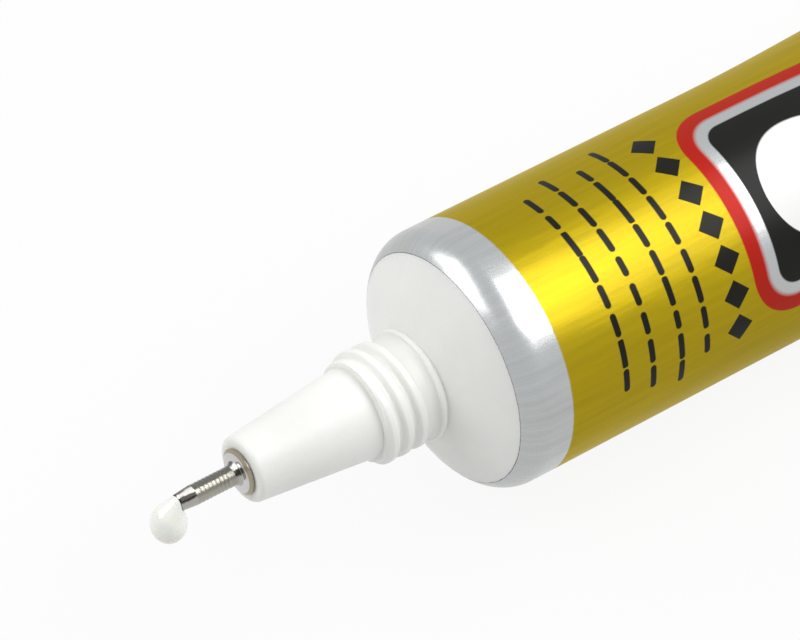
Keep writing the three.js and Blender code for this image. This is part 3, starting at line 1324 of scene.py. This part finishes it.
@dataclass
class NeedleTip(TubePart):
    """Turned needle: barbed shank, bevelled flange, grooved shaft and tapered end."""

    axes: TubeAxes
    node: Node = Node.NEEDLE
    slot: Slot = Slot.NEEDLE
    crease_deg: float = 22.0
    bore: float = 0.35
    shank_end: float = 11.3685
    shank_radius: float = 0.9
    barb_count: int = 3
    barb_pitch: float = 1.2
    barb_height: float = 0.1
    flange_back: float = 16.8685
    flange_radius: float = 1.68
    flange_rim: float = 0.15
    flange_face_radius: float = 1.33
    flange_face: float = 17.2185
    chamfer: float = 0.03
    lip: float = 0.02
    fillet: float = 0.3
    fillet_steps: int = 6
    shaft_radius: float = 0.725
    groove_start: float = 0.45
    groove_pitch: float = 0.31
    groove_land: float = 0.1
    groove_depth: float = 0.03
    groove_count: int = 8
    end: float = 21.9185
    end_break: float = 0.05
    taper: float = 1.2
    end_radius: float = 0.59
    sides: int = 64
    finish: NickelFinish = field(init=False)

    def __post_init__(self) -> None:
        """Lays the finish along the needle."""
        self.finish = NickelFinish(self.axes)

    def profile(self) -> list[Point]:
        """Draws the needle.

        Returns:
            The closed profile.
        """
        shank, shaft = self.shank_radius, self.shaft_radius
        outer, back, face = self.flange_radius, self.flange_back, self.flange_face
        points = [(self.bore, self.shank_end), (shank, self.shank_end)]
        for barb in range(1, self.barb_count + 1):
            edge = self.shank_end + barb * self.barb_pitch
            points += [(shank + self.barb_height, edge), (shank, edge)]
        points += [(shank, back), (outer - self.chamfer, back)]
        points += [(outer, back + self.chamfer), (outer, back + self.flange_rim)]
        points += [(self.flange_face_radius + self.chamfer, face - self.lip)]
        points += [(self.flange_face_radius - self.chamfer, face)]
        fillet_centre = (shaft + self.fillet, face + self.fillet)
        points += arc(fillet_centre, self.fillet, 270.0, 180.0, self.fillet_steps)
        y = face + self.fillet + self.groove_start
        for _ in range(self.groove_count):
            bottom = y + (self.groove_pitch + self.groove_land) / 2.0
            points += [(shaft, y), (shaft, y + self.groove_land), (shaft - self.groove_depth, bottom)]
            y += self.groove_pitch
        points += [(shaft, y), (shaft, self.end - self.taper)]
        points += [(self.end_radius + self.lip, self.end - self.end_break)]
        points += [(self.end_radius - self.chamfer, self.end), (self.bore, self.end), points[0]]
        return points

    def build(self) -> Piece:
        """Turns the needle."""
        return Bench.lathe("needle", self.profile(), self.sides)


@dataclass
class GlueDrop(TubePart):
    """Drop of glue that hangs from the end of the needle."""

    axes: TubeAxes
    node: Node = Node.DROP
    slot: Slot = Slot.GLUE
    crease_deg: float = 50.0
    mouth: float = 21.9685
    gap: float = 0.05
    diameter: float = 2.54
    half_height: float = 1.65
    ahead: float = 0.72
    below: float = 1.6
    collar_radius: float = 0.8
    collar_ahead: float = 0.55
    collar_below: float = 0.66
    needle_radius: float = 0.725
    needle_end_radius: float = 0.59
    taper: float = 1.5
    voxel: float = 0.07
    smooth_share: float = 0.5
    smooth_rounds: int = 14
    merge_parts: float = 20.0
    sides: int = 48
    finish: GlueFinish = field(default_factory=GlueFinish)

    def build(self) -> Piece:
        """Models the drop as a skin over a hanging bead and the needle's end.

        Returns:
            The drop in the tube's axes.
        """
        pitch = math.radians(self.axes.pitch_deg)
        down = Vector((0.0, -math.sin(pitch), -math.cos(pitch)))
        ahead = Vector((0.0, math.cos(pitch), -math.sin(pitch)))
        mouth = Vector((0.0, self.mouth, 0.0))
        centre = mouth + ahead * self.ahead + down * self.below
        collar = mouth + ahead * self.collar_ahead + down * self.collar_below
        round_up = {"segments": self.sides, "ring_count": self.sides // 2}
        Bench.clear()
        bpy.ops.mesh.primitive_uv_sphere_add(
            **round_up,
            radius=self.diameter / 2.0 * MM,
            location=centre * MM,
            rotation=(-pitch, 0.0, 0.0),
            scale=(1.0, 1.0, 2.0 * self.half_height / self.diameter),
        )
        obj = bpy.context.object
        obj.name = "glue_drop"
        bpy.ops.object.transform_apply(location=True, rotation=True, scale=True)
        bpy.ops.object.mode_set(mode="EDIT")
        bpy.ops.mesh.primitive_uv_sphere_add(
            **round_up, radius=self.collar_radius * MM, location=collar * MM
        )
        bpy.ops.mesh.primitive_circle_add(
            vertices=self.sides,
            radius=self.needle_end_radius * MM,
            location=mouth * MM,
            rotation=(math.pi / 2.0, 0.0, 0.0),
        )
        bpy.ops.mesh.select_all(action="SELECT")
        bpy.ops.mesh.convex_hull()
        Bench.close_up()
        bpy.ops.object.mode_set(mode="OBJECT")
        skin = obj.modifiers.new("skin", "REMESH")
        skin.mode = "VOXEL"
        skin.voxel_size = self.voxel * MM
        Bench.apply(obj, skin)
        round_off = obj.modifiers.new("round_off", "SMOOTH")
        round_off.factor = self.smooth_share
        round_off.iterations = self.smooth_rounds
        Bench.apply(obj, round_off)
        self.hollow(obj)
        return obj

    def hollow(self, obj: Piece) -> None:
        """Cuts the space of the needle's end out of the drop.

        Args:
            obj: Drop in the tube's axes.
        """
        Bench.clear()
        bpy.ops.mesh.primitive_cone_add(
            vertices=self.sides,
            radius1=(self.needle_radius + self.gap) * MM,
            radius2=(self.needle_end_radius + self.gap) * MM,
            depth=self.taper * MM,
            location=(0.0, (self.mouth - self.taper / 2.0) * MM, 0.0),
            rotation=(-math.pi / 2.0, 0.0, 0.0),
        )
        cutter = bpy.context.object
        cut = obj.modifiers.new("needle_space", "BOOLEAN")
        cut.operation = "DIFFERENCE"
        cut.object = cutter
        Bench.apply(obj, cut)
        bpy.data.objects.remove(cutter)
        bpy.ops.object.mode_set(mode="EDIT")
        Bench.close_up(self.voxel / self.merge_parts)
        bpy.ops.mesh.quads_convert_to_tris(quad_method="BEAUTY", ngon_method="BEAUTY")
        bpy.ops.object.mode_set(mode="OBJECT")

    def dress(self) -> Piece:
        """Builds the drop, hands it over and lends its finish to the fill in the tube.

        Returns:
            The finished drop.
        """
        obj = super().dress()
        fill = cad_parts[Node.FILL.value]
        fill.data.materials.clear()
        fill.data.materials.append(obj.data.materials[0])
        LOG.info("%s: keeps its solid, takes the finish of the glue", fill.name)
        return obj


@dataclass(frozen=True)
class SoftBox:
    """Soft box that faces the head of the tube: its direction, distance, size and power."""

    name: str
    aim: tuple[float, float, float]
    distance_m: float
    size_m: Point
    watts: float


@dataclass
class Studio:
    """Pale floor, soft light and the camera."""

    axes: TubeAxes
    azimuth_deg: float = -36.8058
    elevation_deg: float = 52.3655
    focal_px: float = 5000.0
    image_px: tuple[int, int] = (800, 640)
    rim_px: Point = (442.5, 368.2)
    rim_depth: float = 337.03
    sensor: float = 36.0
    clip_m: Point = (0.01, 50.0)
    boxes: tuple[SoftBox, ...] = (
        SoftBox("key", (0.60, -0.255, 0.76), 0.7, (0.59, 0.47), 3.85),
        SoftBox("fill", (-0.587, 0.492, 0.643), 0.8, (0.75, 0.52), 3.3),
    )
    dome: float = 0.515
    dome_colour: Colour = (0.97, 0.985, 1.0)
    floor_size_m: float = 8.0
    floor_colour: Colour = (0.68, 0.68, 0.68)
    floor_roughness: float = 0.9
    floor_glow: float = 0.91

    def basis(self) -> tuple[Vector, Vector, Vector]:
        """Works out how the camera is turned.

        Returns:
            Its right, up and back directions.
        """
        a, e = math.radians(self.azimuth_deg), math.radians(self.elevation_deg)
        right = Vector((math.cos(a), math.sin(a), 0.0))
        back = Vector((math.sin(a) * math.cos(e), -math.cos(a) * math.cos(e), math.sin(e)))
        return right, back.cross(right), back

    def camera(self) -> None:
        """Sets the camera so that the rim falls on its place in the image."""
        right, up, back = self.basis()
        x, y = ((at - side / 2.0) / self.focal_px for at, side in zip(self.rim_px, self.image_px))
        place = (Vector(self.axes.rim) + (up * y - right * x + back) * self.rim_depth) * MM
        data = bpy.data.cameras.new("camera")
        data.sensor_width = self.sensor
        data.lens = self.focal_px / self.image_px[0] * self.sensor
        data.clip_start, data.clip_end = self.clip_m
        obj = bpy.data.objects.new("camera", data)
        bpy.context.scene.collection.objects.link(obj)
        turn = Matrix((right, up, back)).transposed().to_4x4()
        obj.matrix_world = Matrix.Translation(place) @ turn
        bpy.context.scene.camera = obj

    def lamp(self, box: SoftBox) -> None:
        """Adds a soft box.

        Args:
            box: The soft box.
        """
        data = bpy.data.lights.new(box.name, "AREA")
        data.shape = "RECTANGLE"
        data.size, data.size_y = box.size_m
        data.energy = box.watts
        obj = bpy.data.objects.new(box.name, data)
        bpy.context.scene.collection.objects.link(obj)
        aim = Vector(box.aim).normalized()
        obj.location = Vector(self.axes.rim) * MM + aim * box.distance_m
        obj.rotation_euler = aim.to_track_quat("Z", "Y").to_euler()

    def world(self) -> None:
        """Sets the white surroundings, which light matt surfaces at the level of the dome."""
        world = bpy.data.worlds.new("studio")
        world.use_nodes = True
        tree = world.node_tree
        background = tree.nodes["Background"]
        background.inputs["Color"].default_value = (*self.dome_colour, 1.0)
        path = tree.nodes.new("ShaderNodeLightPath")
        seen = tree.nodes.new("ShaderNodeMapRange")
        seen.inputs["From Min"].default_value = 1.0
        seen.inputs["From Max"].default_value = 0.0
        seen.inputs["To Min"].default_value = self.dome
        seen.inputs["To Max"].default_value = 1.0
        tree.links.new(path.outputs["Is Diffuse Ray"], seen.inputs["Value"])
        tree.links.new(seen.outputs["Result"], background.inputs["Strength"])
        bpy.context.scene.world = world

    def floor(self) -> None:
        """Lays the pale floor, which shows white and keeps the shadow of the tube."""
        Bench.clear()
        bpy.ops.mesh.primitive_plane_add(size=self.floor_size_m, location=(0.0, 0.0, 0.0))
        obj = bpy.context.object
        obj.name = "floor"
        recipe = Recipe("pale_floor")
        recipe.set(
            Base_Color=self.floor_colour,
            Roughness=self.floor_roughness,
            Specular_IOR_Level=0.0,
        )
        path = recipe.node("ShaderNodeLightPath")
        rays = ("Is Camera Ray", "Is Glossy Ray", "Is Transmission Ray")
        seen = recipe.either(*[path.outputs[ray] for ray in rays])
        glow = recipe.node("ShaderNodeEmission")
        mixed = recipe.node("ShaderNodeMixShader")
        share = recipe.times(seen, self.floor_glow)
        recipe.feed_all(mixed.inputs, (share, recipe.shader.outputs[0], glow.outputs[0]))
        recipe.feed(recipe.output.inputs["Surface"], mixed.outputs[0])
        obj.data.materials.append(recipe.material)

    def build(self) -> None:
        """Sets up the whole studio."""
        bpy.context.scene.view_settings.view_transform = "Standard"
        self.camera()
        for box in self.boxes:
            self.lamp(box)
        self.world()
        self.floor()
        LOG.info("studio: camera, lamps, world and floor")


def main() -> None:
    """Builds the pieces of the tube and its studio in order."""
    logging.basicConfig(level=logging.INFO, format="%(name)s: %(message)s")
    axes = TubeAxes()
    for part in (Sleeve(axes), NozzleHead(axes), NeedleTip(axes), GlueDrop(axes)):
        part.dress()
    Studio(axes).build()


if __name__ == "__main__":
    main()
